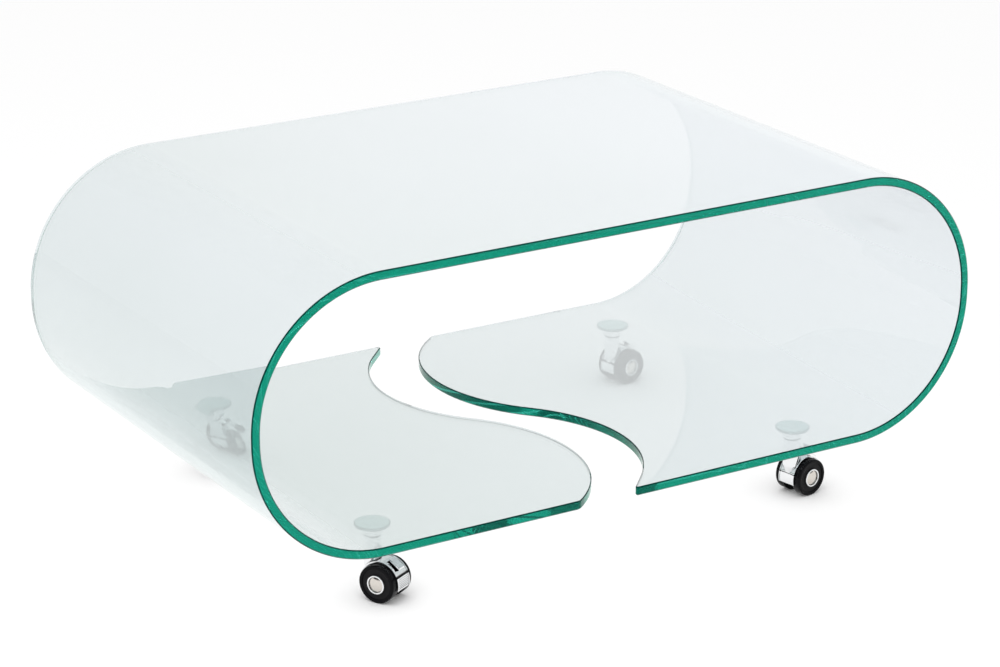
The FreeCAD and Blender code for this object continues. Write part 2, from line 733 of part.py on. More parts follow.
def make_brake_pin(corner):
    """The pin that the brake lever rocks on, held in the web's two cheeks."""
    label = f"{corner}_brake_pin"
    body = new_body(label)
    sketch = new_sketch(body, f"{label}_outline", "XZ_Plane")
    draw_circle(sketch, "pin_diameter / 2", "0", "pivot_height")
    pad(body, f"{label}_rod", sketch, "web_width", symmetric=True)
    stand_at_axle(body, corner)


def make_brake_lever(corner):
    """The brake lever: hub on the pin, an arm out through the hood, a pedal and a cross shoe."""
    label = f"{corner}_brake_lever"
    body = new_body(label)
    hub = new_sketch(body, f"{label}_hub_outline", "XZ_Plane")
    draw_circle(hub, "lever_hub_diameter / 2", "0", "pivot_height")
    pad(body, f"{label}_hub", hub, "lever_width", symmetric=True)

    top, low = "pivot_height + arm_depth / 2", "pivot_height - arm_depth / 2"
    shoe_back, shoe_front = "shoe_forward - shoe_size / 2", "shoe_forward + shoe_size / 2"
    shoe_foot, shoe_top = "shoe_height - shoe_size / 2", "shoe_height + shoe_size / 2"
    neck_top = "pedal_foot + pedal_thickness / 2"
    neck_drop = "pedal_drop * neck_width / (pedal_reach - pedal_start)"
    arm = new_sketch(body, f"{label}_arm_outline", "XZ_Plane")
    draw_polygon(arm, [
        ("0", top), ("shoe_forward", top), ("pedal_start", neck_top),
        ("pedal_start + neck_width", f"{neck_top} - {neck_drop}"),
        ("shoe_forward + neck_width", "pivot_height"),
        (shoe_front, shoe_foot), (shoe_back, shoe_foot), (shoe_back, low), ("0", low)])
    pad(body, f"{label}_arm", arm, "lever_width", symmetric=True)

    shoe = new_sketch(body, f"{label}_shoe_outline", "XZ_Plane")
    draw_box(shoe, shoe_back, shoe_front, shoe_foot, shoe_top)
    pad(body, f"{label}_shoe", shoe, "shoe_width", symmetric=True)

    pedal = new_sketch(body, f"{label}_pedal_outline", "XZ_Plane")
    draw_polygon(pedal, [
        ("pedal_start", "pedal_foot"), ("pedal_reach", "pedal_foot - pedal_drop"),
        ("pedal_reach", "pedal_foot - pedal_drop + pedal_thickness"),
        ("pedal_start", "pedal_foot + pedal_thickness")])
    pad(body, f"{label}_pedal", pedal, "pedal_width", symmetric=True)

    hole = new_sketch(body, f"{label}_hole_outline", "XZ_Plane")
    draw_circle(hole, "pin_diameter / 2 + running_clearance", "0", "pivot_height")
    pocket(body, f"{label}_hole", hole, "2 * lever_width")
    stand_at_axle(body, corner)


def make_castor(corner):
    """Every piece of one castor."""
    make_film(corner)
    make_plate(corner)
    make_stem(corner)
    make_bush(corner)
    make_stem_ring(corner)
    make_hood(corner)
    make_axle(corner)
    make_axle_rings(corner)
    for side, turn in (("right", "0"), ("left", "180")):
        make_wheel(corner, side, turn)
        make_cap(corner, side, turn)
    make_brake_pin(corner)
    make_brake_lever(corner)


def check_and_write():
    """Checks every object and shape, then writes one STEP file for each sub-part."""
    doc.recompute()
    failed = [item.Label for item in doc.Objects if {"Invalid", "Error"} & set(item.State)]
    if failed:
        raise RuntimeError("failed objects: " + ", ".join(failed))
    for item in parts:
        if item.Shape.isNull() or not item.Shape.isValid():
            raise RuntimeError(f"{item.Label} has no valid shape")
    os.makedirs("parts", exist_ok=True)
    for item in parts:
        item.Shape.exportStep(f"parts/{item.Label}.step")
    print(len(parts), "sub-parts written")


sheet = make_sheet()
make_glass()
for corner in CORNERS:
    make_castor(corner)
check_and_write()
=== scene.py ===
import json
import math

import bmesh
import bpy
from bpy.props import FloatProperty, FloatVectorProperty, IntProperty, PointerProperty
from mathutils import Matrix, Vector


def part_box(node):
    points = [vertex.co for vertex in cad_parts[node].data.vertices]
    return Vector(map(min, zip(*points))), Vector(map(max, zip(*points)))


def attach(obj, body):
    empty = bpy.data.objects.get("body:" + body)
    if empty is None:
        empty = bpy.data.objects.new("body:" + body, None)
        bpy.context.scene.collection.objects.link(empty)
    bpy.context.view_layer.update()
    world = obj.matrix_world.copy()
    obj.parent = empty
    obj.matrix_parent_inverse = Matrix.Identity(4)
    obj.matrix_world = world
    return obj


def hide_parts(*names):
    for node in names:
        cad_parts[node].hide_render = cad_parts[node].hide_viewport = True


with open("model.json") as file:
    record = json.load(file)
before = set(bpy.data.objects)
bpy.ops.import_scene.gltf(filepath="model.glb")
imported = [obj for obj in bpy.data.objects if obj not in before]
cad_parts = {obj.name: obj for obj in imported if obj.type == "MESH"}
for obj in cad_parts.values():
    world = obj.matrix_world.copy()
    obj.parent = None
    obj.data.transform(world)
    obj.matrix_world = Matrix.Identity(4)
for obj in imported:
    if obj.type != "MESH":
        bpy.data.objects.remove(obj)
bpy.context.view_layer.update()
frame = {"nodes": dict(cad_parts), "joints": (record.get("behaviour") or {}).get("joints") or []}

bl_info = {
    "name": "Waterfall glass table",
    "version": (1, 0, 0),
    "blender": (4, 5, 0),
    "location": "3D View > Sidebar > Table",
    "description": "Dresses a bent glass table and its castors, and sets them in a plain studio",
    "category": "Object",
}

CORNERS = ("front_left", "front_right", "rear_left", "rear_right")
SIDES = {"right": 0.0, "left": math.pi}  # how far a castor's wheel is turned from the one at +Y
KINDS = {"face": 0, "rim": 1, "arris": 2}  # what a face of the glass sheet belongs to
QUARTER_TURN = math.tau / 4
MIDDLE, ACROSS, UP = Vector((0, 0, 0)), Vector((0, 1, 0)), Vector((0, 0, 1))
WHITE = (1, 1, 1, 1)

TOUCH = 1e-6  # within this two places are the same
BORE_SLACK = 1e-5  # within this of a wheel's bore a corner lies on it
LAST_RING = 0.8  # width of the innermost ring of a cap's dome, as a share of the others
DOME_RISE = 0.95  # how far the dome's middle rises from its edge, as a share of the dish
LIP_OUTSIDE, LIP_INSIDE = 0.3, 0.2  # rounding of the lip's two edges, as shares of its width

PAINTED_LIGHT_ACROSS = (0.1, 0.6)  # painted shade to painted light, from the glass's low tint, 0, to its high one, 1, at its left and right ends
PAINTED_LIGHT_UPWARDS = (0.0, 0.3)  # painted light added to that, at the sheet's bottom and top
PALE_CLOUD = 0.1  # added or taken away by soft clouds
PALE_CLEAR = 0.2  # added where the faces are free of the veil
VEIL_SLANTS = (0.2, 0.7)  # how far a face is turned away where the veil starts and stops growing
STREAK_SPREAD = 0.5  # share by which streaks vary the rim's cover
REAR_STRIP = 0.002  # the rear arris, pale with painted light, lies within this of the sheet's back
CREASE_SHADE_REACH = 0.003  # surfaces nearer to each other than this get painted shade
CREASE_SHADE_SKY = (0.35, 0.85)  # share of open sky at which a crease's painted shade is darkest, and at which it ends
PLATE_THICKNESS = 0.003  # the disc of a bonding plate, above its collar
PLATE_FADE = 0.0006  # below the disc its finish turns into the collar's over this height
CAP_CONTRAST = 1.2  # how much paler the palest grain of a cap is than its colour

HORIZON_GREY = 0.02  # brightness of the dim horizon
HORIZON_BAND = 0.6  # share of its height up to which it is that dim
SENSOR_WIDTH = 36  # of the camera, in millimetres
NEAREST, FARTHEST = 0.05, 200  # from the camera, in metres
BOUNCES, GLASS_BOUNCES = 48, 40  # enough for light that runs inside the sheet to its far edge


# ---------------------------------------------------------------- sizes and colours

def length(name, millimetres, description, **limits):
    """A size property. Its default is given in millimetres and kept in metres."""
    return FloatProperty(name=name, description=description, default=millimetres / 1000,
                         unit="LENGTH", precision=5, **limits)


def colour(name, default, description):
    return FloatVectorProperty(name=name, description=description, default=default,
                               size=3, subtype="COLOR", min=0, max=1)


def share(name, default, description):
    return FloatProperty(name=name, description=description, default=default, min=0, max=1,
                         subtype="FACTOR")


class GlassSizes(bpy.types.PropertyGroup):
    """The glass sheet's bends, its S-shaped gap and its edges."""
    thickness: length("Thickness", 10, "How thick the sheet is")
    bend_radius: length("Bend radius", 149, "Outer radius of the four bends")
    lobe_radius: length("Lobe radius", 182, "Radius of a leaf's rounded lobe")
    lobe_reach: length("Lobe reach", 10, "How far a lobe passes the middle of the table")
    hollow_radius: length("Hollow radius", 171, "Radius of the hollow beside a lobe")
    arc_offset: length("Arc offset", 117, "How far from the middle line both arcs are centred")
    hollow_sweep: length("Hollow sweep", 118, "How far along the depth the hollow stays round")
    tip_round: length("Tip rounding", 3, "Radius of the sharp corners")
    lobe_round: length("Lobe rounding", 9, "Radius of the blunt corners")
    arris: length("Arris", 1.2, "Width of the ground edge between a face and the sheet's rim")
    clearance: length("Clearance", 0.03, "How far the sheet stays inside its solid, off the castors' plates")
    bend_steps: IntProperty(name="Bend steps", description="Faces round one bend", default=60, min=8)
    arc_steps: IntProperty(name="Arc steps", description="Faces round one arc of the gap", default=26, min=8)
    corner_steps: IntProperty(name="Corner steps", description="Faces round one corner", default=8, min=2)


class CastorSizes(bpy.types.PropertyGroup):
    """The castors' wheels and hub caps."""
    wheel_back: length("Wheel back", 6.7, "From the castor's middle to a wheel's inner side")
    wheel_face: length("Wheel face", 18.3, "From the castor's middle to a wheel's outer side")
    shoulder: length("Shoulder", 1.4, "Rounding of the tread's outer corner")
    rim_width: length("Rim width", 2.8, "Flat ring inside the shoulder")
    rim_step: length("Rim step", 1.0, "How deep the disc lies inside the rim")
    rim_depth: length("Rim depth", 4.0, "Thickness of the wheel's outer wall")
    disc_thickness: length("Disc thickness", 4.0, "Thickness of the wheel's disc")
    drum_radius: length("Drum radius", 9.0, "Radius of the drum that the brake bears on")
    wheel_edge: length("Wheel edges", 0.3, "Rounding of a wheel's smaller edges")
    bore_radius: length("Bore radius", 3.05, "Radius of the hole for the axle")
    cap_radius: length("Cap radius", 10.3, "Radius of the hub cap")
    cap_proud: length("Cap height", 1.1, "How far the cap stands out of the wheel")
    cap_seat: length("Cap seat", 3.5, "How deep the cap is set into the wheel")
    cap_wall: length("Cap wall", 1.1, "Thickness of the cap's skirt")
    cap_hollow: length("Cap hollow", 2.4, "How deep the cap is hollow behind, over the axle's end")
    cap_lip: length("Cap lip", 1.6, "Width of the cap's raised lip")
    cap_dish: length("Cap dish", 1.6, "How deep the edge of the cap's dome lies inside its lip")
    cap_rings: IntProperty(name="Cap rings", description="Rings in the cap's dome", default=6, min=2)
    around: IntProperty(name="Steps around", description="Faces round a wheel", default=96, min=24)


class Finishes(bpy.types.PropertyGroup):
    """Colours and strengths of the finishes."""
    # The two ends of the faces' colour: the glass's pale tint, with painted shade low down to the left and
    # painted light high up to the right
    glass_shaded_tint: colour("Glass, low end", (0.60, 0.665, 0.65), "Tint of the faces low down to the left")
    glass_lit_tint: colour("Glass, high end", (0.91, 0.93, 0.97), "Tint of the faces high up to the right")
    glass_rim: colour("Glass rim", (0.012, 0.35, 0.25), "Tint of the sheet's polished rim")
    # Painted shade: the arris along the front and the S-edges is dark for the dark surroundings it refracts
    arris_painted_shade: colour("Glass arris", (0.001, 0.035, 0.03), "Tint of the narrow arris beside the rim")
    # Partly the frosted look of a ground arris, partly painted light: the rear arris is pale for the white
    # backdrop it shows
    rear_arris_painted_light: colour("Rear arris", (0.95, 0.97, 0.97), "Tint of the frosted arris along the rear edge")
    glass_through: colour("Glass depth", (0.054, 0.758, 0.64), "What is left of light deep in the sheet")
    glass_density: FloatProperty(name="Glass density", default=2.0, min=0,
                                 description="How fast the sheet takes up light, per metre")
    veil_square: share("Veil seen square", 0.08, "Share of a face that shows as a pale veil when faced")
    veil_slant: share("Veil seen aslant", 0.54, "Share of a face that shows as a pale veil when seen edge-on")
    clear_end: length("Clear end", 150, "From the sheet's left end to where the veil is at full strength")
    clear_fade: length("Clear fade", 80, "Over what length before that place the veil comes in")
    rim_cover: share("Rim cover", 0.28, "Share of the rim's own colour over what passes through it")
    arris_cover: share("Arris cover", 0.85, "Share of the arris's own colour over what passes through it")
    chrome: colour("Chrome", (0.86, 0.87, 0.88), "Bright plated parts")
    # Colour of the painted shade that ambient occlusion lays into the creases of plated parts
    crease_shade: colour("Crease", (0.03, 0.032, 0.035), "Grime in the creases of plated parts")
    cap_face: colour("Cap face", (0.62, 0.585, 0.54), "Brushed middle of the hub caps")
    plate: colour("Plate", (0.31, 0.39, 0.385), "Plates and stems under the glass")
    steel: colour("Steel", (0.58, 0.58, 0.59), "Zinc-plated inner parts")
    black: colour("Black", (0.004, 0.004, 0.005), "Moulded wheels")
    black_disc: colour("Black disc", (0.011, 0.011, 0.012), "Duller disc between a wheel's rim and its cap")
    bush: colour("Bush", (0.80, 0.79, 0.74), "Plain plastic of the swivel bush")
    adhesive: colour("Adhesive", (0.50, 0.66, 0.64), "Cured adhesive between plate and glass")


class StageSizes(bpy.types.PropertyGroup):
    """Floor, light and camera."""
    floor_size: FloatProperty(name="Floor", description="Width of the floor", default=60, min=1,
                              unit="LENGTH")
    floor_colour: colour("Floor colour", (0.80, 0.80, 0.80), "Pale floor, as light falls back from it")
    world_light: FloatProperty(name="Room light", description="Strength of the light from all round",
                               default=0.95, min=0)
    horizon: share("Dark horizon", 0.22, "How high the dim horizon reaches that metal mirrors")
    lamp_power: FloatProperty(name="Soft lamp", description="Power of the overhead lamp, in watts",
                              default=12, min=0)
    lamp_length: length("Lamp length", 2200, "Longer side of the lamp")
    lamp_width: length("Lamp width", 1600, "Shorter side of the lamp")
    lamp_place: FloatVectorProperty(name="Lamp place", description="Where the lamp hangs",
                                    default=(-1.2, -1.0, 2.4), subtype="TRANSLATION")
    azimuth: FloatProperty(name="Azimuth", description="Where the camera stands round the table",
                           default=math.radians(-31.8), subtype="ANGLE")
    elevation: FloatProperty(name="Elevation", description="How high the camera looks from",
                             default=math.radians(19.516), subtype="ANGLE")
    roll: FloatProperty(name="Roll", description="How far the camera leans", default=math.radians(0.147),
                        subtype="ANGLE")
    distance: FloatProperty(name="Distance", description="From the camera to what it aims at",
                            default=3.5709, min=0.1, unit="LENGTH")
    aim: FloatVectorProperty(name="Aim", description="What the camera looks at",
                             default=(-0.00119, 0, 0.18005), subtype="TRANSLATION")
    lens: FloatProperty(name="Lens", description="Focal length in millimetres", default=115.04, min=1)


# ---------------------------------------------------------------- modelling helpers

def deselect_all():
    """Nothing selected, in object mode."""
    if bpy.context.object and bpy.context.object.mode != "OBJECT":
        bpy.ops.object.mode_set(mode="OBJECT")
    bpy.ops.object.select_all(action="DESELECT")


def take_up(piece):
    """Makes a piece the only one selected."""
    deselect_all()
    piece.select_set(True)
    bpy.context.view_layer.objects.active = piece


def settle(name):
    """Names the new primitive, moves its place into its mesh and opens it for editing."""
    piece = bpy.context.object
    piece.name = piece.data.name = name
    bpy.ops.object.transform_apply(location=True, rotation=True, scale=True)
    bpy.ops.object.mode_set(mode="EDIT")
    return piece


def pick(piece, kind, wanted):
    """Selects the vertices, edges or faces that wanted accepts."""
    bpy.ops.mesh.select_mode(type=kind)
    bpy.ops.mesh.select_all(action="DESELECT")
    mesh = bmesh.from_edit_mesh(piece.data)
    mesh.normal_update()
    for item in {"VERT": mesh.verts, "EDGE": mesh.edges, "FACE": mesh.faces}[kind]:
        if wanted(item):
            item.select_set(True)
    mesh.select_flush_mode()
    bmesh.update_edit_mesh(piece.data)


def spin(steps, angle, centre, axis):
    """Sweeps what is selected round an axis by the right-hand rule."""
    bpy.ops.mesh.spin(steps=steps, angle=-angle, center=centre, axis=axis)


def extrude(move):
    bpy.ops.mesh.extrude_region_move(TRANSFORM_OT_translate={"value": move})


def finish_with(piece, kind, **settings):
    """Adds a modifier, sets it up and applies it."""
    take_up(piece)
    modifier = piece.modifiers.new(kind.title(), kind)
    for name, value in settings.items():
        setattr(modifier, name, value)
    bpy.ops.object.modifier_apply(modifier=modifier.name)


def smooth(piece, degrees):
    take_up(piece)
    bpy.ops.object.shade_smooth_by_angle(angle=math.radians(degrees))


def stand(piece, body, slot, *nodes):
    """A finished piece rides on a body, in place of its plain solids."""
    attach(piece, body)
    if nodes:
        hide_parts(*nodes)


def set_down(pattern, name, matrix):
    """A copy of a piece with its own mesh, placed by a matrix."""
    take_up(pattern)
    bpy.ops.object.duplicate()
    piece = bpy.context.object
    piece.name = piece.data.name = name
    piece.matrix_world = matrix
    bpy.ops.object.transform_apply(location=True, rotation=True, scale=True)
    return piece


def discard(pattern):
    deselect_all()
    bpy.data.objects.remove(pattern)


def axle_frame(corner):
    """The matrix of a castor's own frame: X the way it trails, Y along its axle."""
    joint = next(item for item in frame["joints"] if item["name"] == f"{corner}_right_wheel_spin")
    across = Vector(joint["axis"])
    along = across.cross(UP)
    turn = Matrix((along, across, UP)).transposed().to_4x4()
    return Matrix.Translation(joint["pos_m"]) @ turn


# ---------------------------------------------------------------- material helpers

def new_material(name, **sockets):
    """A material with one Principled shader whose sockets are set by name."""
    material = bpy.data.materials.new(name)
    material.use_nodes = True
    shader = material.node_tree.nodes["Principled BSDF"]
    for socket, value in sockets.items():
        shader.inputs[socket.replace("_", " ")].default_value = value
    return material, shader


def add_node(owner, kind, **sockets):
    """A node in the tree of a material or a world, with its sockets set by name."""
    node = owner.node_tree.nodes.new(kind)
    for socket, value in sockets.items():
        node.inputs[socket.replace("_", " ")].default_value = value
    return node


def link(owner, source, target):
    owner.node_tree.links.new(source, target)


def add_noise(owner, scale, detail=3.0):
    """Cloudy noise in the piece's own metres, as a number."""
    place = add_node(owner, "ShaderNodeTexCoord")
    noise = add_node(owner, "ShaderNodeTexNoise", Scale=scale, Detail=detail)
    link(owner, place.outputs["Object"], noise.inputs["Vector"])
    return noise.outputs["Fac"]


def add_place(owner, system):
    """Where a point lies, as outputs named X, Y and Z, by one system of Texture Coordinate."""
    split = add_node(owner, "ShaderNodeSeparateXYZ")
    link(owner, add_node(owner, "ShaderNodeTexCoord").outputs[system], split.inputs["Vector"])
    return split.outputs


def add_range(owner, source, low, high, start=0.0, end=1.0):
    """A number stretched from one range to another."""
    node = add_node(owner, "ShaderNodeMapRange")
    for socket, value in {"From Min": start, "From Max": end, "To Min": low, "To Max": high}.items():
        node.inputs[socket].default_value = value
    link(owner, source, node.inputs["Value"])
    return node.outputs["Result"]


def add_math(owner, operation, *values):
    node = add_node(owner, "ShaderNodeMath")
    node.operation = operation
    for socket, value in zip(node.inputs, values):
        if isinstance(value, (int, float)):
            socket.default_value = value
        else:
            link(owner, value, socket)
    return node.outputs["Value"]


def add_mix(owner, factor, first, second):
    """A mix of two colours or two numbers, each given or from a socket."""
    node = add_node(owner, "ShaderNodeMixRGB")
    link(owner, factor, node.inputs["Fac"])
    for socket, value in ((node.inputs["Color1"], first), (node.inputs["Color2"], second)):
        if isinstance(value, bpy.types.NodeSocket):
            link(owner, value, socket)
        else:
            socket.default_value = value if isinstance(value, tuple) else (value, value, value, 1)
    return node.outputs["Color"]


def add_grain(material, shader, scale, smoothest, roughest, detail=3.0):
    """Cloudy grain that varies the roughness. Returns the grain, as a number."""
    grain = add_noise(material, scale, detail)
    link(material, add_range(material, grain, smoothest, roughest), shader.inputs["Roughness"])
    return grain


def add_bump(material, shader, height, strength, distance):
    bump = add_node(material, "ShaderNodeBump", Strength=strength, Distance=distance)
    link(material, height, bump.inputs["Height"])
    link(material, bump.outputs["Normal"], shader.inputs["Normal"])


# ---------------------------------------------------------------- finishes

def tint_and_shade_faces(material, finishes, where, clear):
    """The faces' tint, with painted shade and light: darker low down to the left and paler to the right and
    upwards; also paler in soft clouds and where there is no veil.
    """
    low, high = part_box("glass_sheet")
    across = add_range(material, where["X"], *PAINTED_LIGHT_ACROSS, low.x, high.x)
    upwards = add_range(material, where["Z"], *PAINTED_LIGHT_UPWARDS, low.z, high.z)
    cloud = add_range(material, add_noise(material, scale=2.5, detail=1.0), -PALE_CLOUD, PALE_CLOUD)
    paleness = add_math(material, "MULTIPLY_ADD", clear, PALE_CLEAR, cloud)
    for part in (across, upwards):
        paleness = add_math(material, "ADD", paleness, part)
    return add_mix(material, paleness, (*finishes.glass_shaded_tint, 1), (*finishes.glass_lit_tint, 1))


def make_glass(finishes):
    """Clear glass whose faces carry a pale veil, with a polished green rim and an arris that is dark with
    painted shade along the front and the S-edges, and pale with painted light along the rear.

    The sheet's "rim" attribute holds each face's kind. The veil and the rim's cover lie on the
    outside only, so light inside the sheet runs on to its far edge. The arris covers both ways.
    """
    material, shader = new_material("clear_glass", Roughness=0.0, IOR=1.5)
    kind = add_node(material, "ShaderNodeAttribute")
    kind.attribute_name = "rim"
    is_edge = add_math(material, "GREATER_THAN", kind.outputs["Fac"], KINDS["rim"] - 0.5)
    is_arris = add_math(material, "GREATER_THAN", kind.outputs["Fac"], KINDS["arris"] - 0.5)

    def by_kind(face, rim, arris):
        return add_mix(material, is_edge, face, add_mix(material, is_arris, rim, arris))

    where = add_place(material, "Object")
    low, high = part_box("glass_sheet")
    full_veil = low.x + finishes.clear_end
    clear = add_range(material, where["X"], 1.0, 0.0, full_veil - finishes.clear_fade, full_veil)
    slant = add_node(material, "ShaderNodeLayerWeight", Blend=0.5).outputs["Facing"]
    veil = add_range(material, slant, finishes.veil_square, finishes.veil_slant, *VEIL_SLANTS)
    veil = add_math(material, "MULTIPLY", veil, add_math(material, "SUBTRACT", 1.0, clear))
    rim_cover = add_range(material, add_noise(material, scale=30.0, detail=2.0),
                          finishes.rim_cover * (1 - STREAK_SPREAD), finishes.rim_cover * (1 + STREAK_SPREAD))
    cover = by_kind(veil, rim_cover, finishes.arris_cover)
    inner_side = add_node(material, "ShaderNodeNewGeometry").outputs["Backfacing"]
    is_bare = add_math(material, "SUBTRACT", inner_side, is_arris)
    hidden = add_math(material, "MULTIPLY", cover, add_math(material, "LESS_THAN", is_bare, 0.5))
    link(material, add_math(material, "SUBTRACT", 1.0, hidden), shader.inputs["Transmission Weight"])

    rim_tint = (*finishes.glass_rim, 1)
    # Painted shade and light on the arris: dark along the front and the S-edges, pale along the rear
    is_rear = add_math(material, "GREATER_THAN", where["Y"], high.y - REAR_STRIP)
    arris_shade_and_light = add_mix(material, is_rear, (*finishes.arris_painted_shade, 1), (*finishes.rear_arris_painted_light, 1))
    tint = by_kind(tint_and_shade_faces(material, finishes, where, clear), rim_tint, arris_shade_and_light)
    link(material, tint, shader.inputs["Base Color"])
    link(material, add_mix(material, is_edge, WHITE, rim_tint), shader.inputs["Specular Tint"])
    inside = add_node(material, "ShaderNodeVolumeAbsorption", Color=(*finishes.glass_through, 1),
                      Density=finishes.glass_density)
    output = material.node_tree.nodes["Material Output"]
    link(material, inside.outputs["Volume"], output.inputs["Volume"])
    return material


def paint_crease_shade(material, shader, finish, crease_shade):
    """Painted shade where surfaces meet closely: the base colour darkens by ambient occlusion."""
    open_sky = add_node(material, "ShaderNodeAmbientOcclusion", Distance=CREASE_SHADE_REACH)
    unshaded = add_range(material, open_sky.outputs["AO"], 0.0, 1.0, *CREASE_SHADE_SKY)
    link(material, add_mix(material, unshaded, (*crease_shade, 1), (*finish, 1)), shader.inputs["Base Color"])


def make_chrome(finishes):
    """Bright plating with faint smears, and painted shade in its creases."""
    material, shader = new_material("bright_chrome_plate", Metallic=1.0)
    paint_crease_shade(material, shader, finishes.chrome, finishes.crease_shade)
    add_grain(material, shader, scale=160.0, smoothest=0.03, roughest=0.10)
    return material


def make_plate(finishes):
    """Satin plating of the plates that are bonded to the glass, bright on the collar below the disc."""
    material, shader = new_material("satin_plate", Metallic=1.0)
    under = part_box(f"{CORNERS[0]}_bonding_plate")[1].z - PLATE_THICKNESS
    is_disc = add_range(material, add_place(material, "Object")["Z"], 0.0, 1.0, under - PLATE_FADE, under)
    link(material, add_mix(material, is_disc, (*finishes.chrome, 1), (*finishes.plate, 1)),
         shader.inputs["Base Color"])
    add_grain(material, shader, scale=500.0, smoothest=0.15, roughest=0.28)
    return material


def make_cap_face(finishes):
    """Brushed metal with a fine cloudy grain."""
    material, shader = new_material("brushed_cap", Metallic=1.0)
    grain = add_grain(material, shader, scale=420.0, smoothest=0.08, roughest=0.16, detail=5.0)
    paler = tuple(min(1, channel * CAP_CONTRAST) for channel in finishes.cap_face)
    link(material, add_mix(material, grain, (*finishes.cap_face, 1), (*paler, 1)),
         shader.inputs["Base Color"])
    return material


def make_steel(finishes):
    """Dull zinc plate."""
    material, shader = new_material("zinc_plated_steel", Base_Color=(*finishes.steel, 1), Metallic=1.0)
    add_grain(material, shader, scale=900.0, smoothest=0.25, roughest=0.42)
    return material


def make_black(name, tint, smoothest, roughest):
    """Moulded black with a fine uneven skin."""
    material, shader = new_material(name, Base_Color=(*tint, 1), Specular_IOR_Level=0.08)
    skin = add_grain(material, shader, 260.0, smoothest, roughest, detail=4.0)
    add_bump(material, shader, skin, strength=0.05, distance=0.0002)
    return material


def make_bush_plastic(finishes):
    """Matt natural plastic."""
    material, shader = new_material("bush_acetal", Base_Color=(*finishes.bush, 1))
    add_grain(material, shader, scale=700.0, smoothest=0.38, roughest=0.55)
    return material


def make_adhesive(finishes):
    """Cured clear adhesive, which shows as a pale wet patch on the plate."""
    material, shader = new_material("cured_adhesive", Base_Color=(*finishes.adhesive, 1))
    add_grain(material, shader, scale=220.0, smoothest=0.08, roughest=0.2)
    return material


# ---------------------------------------------------------------- glass sheet

def heading(angle):
    """The way that a clockwise turn points at an angle round its centre."""
    return Vector((math.sin(angle), -math.cos(angle)))


def draw_leaf_edge(sizes, half_depth, height):
    """The right leaf's S: a lobe to the rear of the joint, a hollow and a straight run to its front.

    Returns the piece, where its joint lies along X, and how much the rounding of the lobe's and
    of the tip's corner takes off their sides.
    """
    lobe = Vector((sizes.lobe_radius - sizes.lobe_reach, sizes.arc_offset))
    pitch = sizes.lobe_radius + sizes.hollow_radius
    hollow = Vector((lobe.x - math.sqrt(pitch ** 2 - (2 * sizes.arc_offset) ** 2), -sizes.arc_offset))
    joint = hollow + (lobe - hollow) * (sizes.hollow_radius / pitch)

    lobe_start = math.atan2(*(joint - lobe).yx) % math.tau
    lobe_end = math.pi - math.asin((half_depth - lobe.y) / sizes.lobe_radius)
    hollow_start = math.atan2(*(joint - hollow).yx)
    hollow_end = -math.asin(sizes.hollow_sweep / sizes.hollow_radius)

    bpy.ops.mesh.primitive_plane_add(size=sizes.thickness, location=(*joint, height))
    piece = settle("glass_loop")
    bpy.ops.mesh.select_all(action="SELECT")
    bpy.ops.mesh.merge(type="CENTER")
    spin(sizes.arc_steps, lobe_end - lobe_start, (*lobe, height), UP)
    pick(piece, "VERT", lambda point: (point.co.xy - joint).length < TOUCH)
    spin(sizes.arc_steps, hollow_end - hollow_start, (*hollow, height), UP)
    run = heading(hollow_end)
    reach = sizes.arc_offset + sizes.hollow_sweep - half_depth
    extrude((*(run * (reach / run.y)), 0))

    lobe_corner = math.acos(-heading(lobe_end).x)
    tip_corner = math.acos(-run.x)
    lobe_trim = sizes.lobe_round / math.tan(lobe_corner / 2)
    tip_trim = sizes.tip_round / math.tan(tip_corner / 2)
    return piece, joint.x, lobe_trim, tip_trim


def bend_sheet(sizes, low, high):
    """Draws the leaf's edge out to the bend, round the end, and on to the top.

    Returns where the bends start along X.
    """
    bend = high.x - sizes.bend_radius
    bpy.ops.mesh.select_all(action="SELECT")
    extrude(Vector((0, 0, 0)))
    bpy.ops.transform.resize(value=(0, 1, 1), center_override=(bend, 0, low.z))
    spin(sizes.bend_steps, -QUARTER_TURN, (bend, 0, low.z + sizes.bend_radius), ACROSS)
    extrude(UP * (high.z - low.z - 2 * sizes.bend_radius))
    spin(sizes.bend_steps, -QUARTER_TURN, (bend, 0, high.z - sizes.bend_radius), ACROSS)
    return bend


def close_loop(piece, bend, top):
    """Turns a copy of the half sheet half round and joins the two across the top."""
    bpy.ops.mesh.select_all(action="SELECT")
    bpy.ops.mesh.duplicate()
    bpy.ops.transform.rotate(value=math.pi, orient_axis="Z", center_override=MIDDLE)
    pick(piece, "EDGE", lambda edge: all(
        abs(point.co.z - top) < TOUCH and abs(abs(point.co.x) - bend) < TOUCH for point in edge.verts))
    bpy.ops.mesh.bridge_edge_loops()


def round_corners(piece, sizes, bend, half_depth, height, joint_x, lobe_trim, tip_trim):
    """Rounds the leaves' corners in the flat, the blunt ones and then the sharp ones."""
    def is_corner(point):
        flat = abs(point.co.z - height) < TOUCH and abs(point.co.x) < bend - TOUCH
        return flat and abs(abs(point.co.y) - half_depth) < TOUCH

    def is_tip(point):
        return math.copysign(1, point.co.y) * point.co.x < joint_x

    for trim, tips in ((lobe_trim, False), (tip_trim, True)):
        pick(piece, "VERT", lambda point: is_corner(point) and is_tip(point) == tips)
        bpy.ops.mesh.bevel(offset_type="OFFSET", offset=trim, segments=sizes.corner_steps,
                           profile=0.5, affect="VERTICES")


def mark_rim(piece):
    """Turns each face's material index, which is its kind, into an attribute, and keeps one material."""
    kinds = [face.material_index for face in piece.data.polygons]
    rim = piece.data.attributes.new("rim", "FLOAT", "FACE")
    rim.data.foreach_set("value", kinds)
    piece.data.polygons.foreach_set("material_index", [0] * len(kinds))
    while len(piece.data.materials) > 1:
        piece.data.materials.pop()


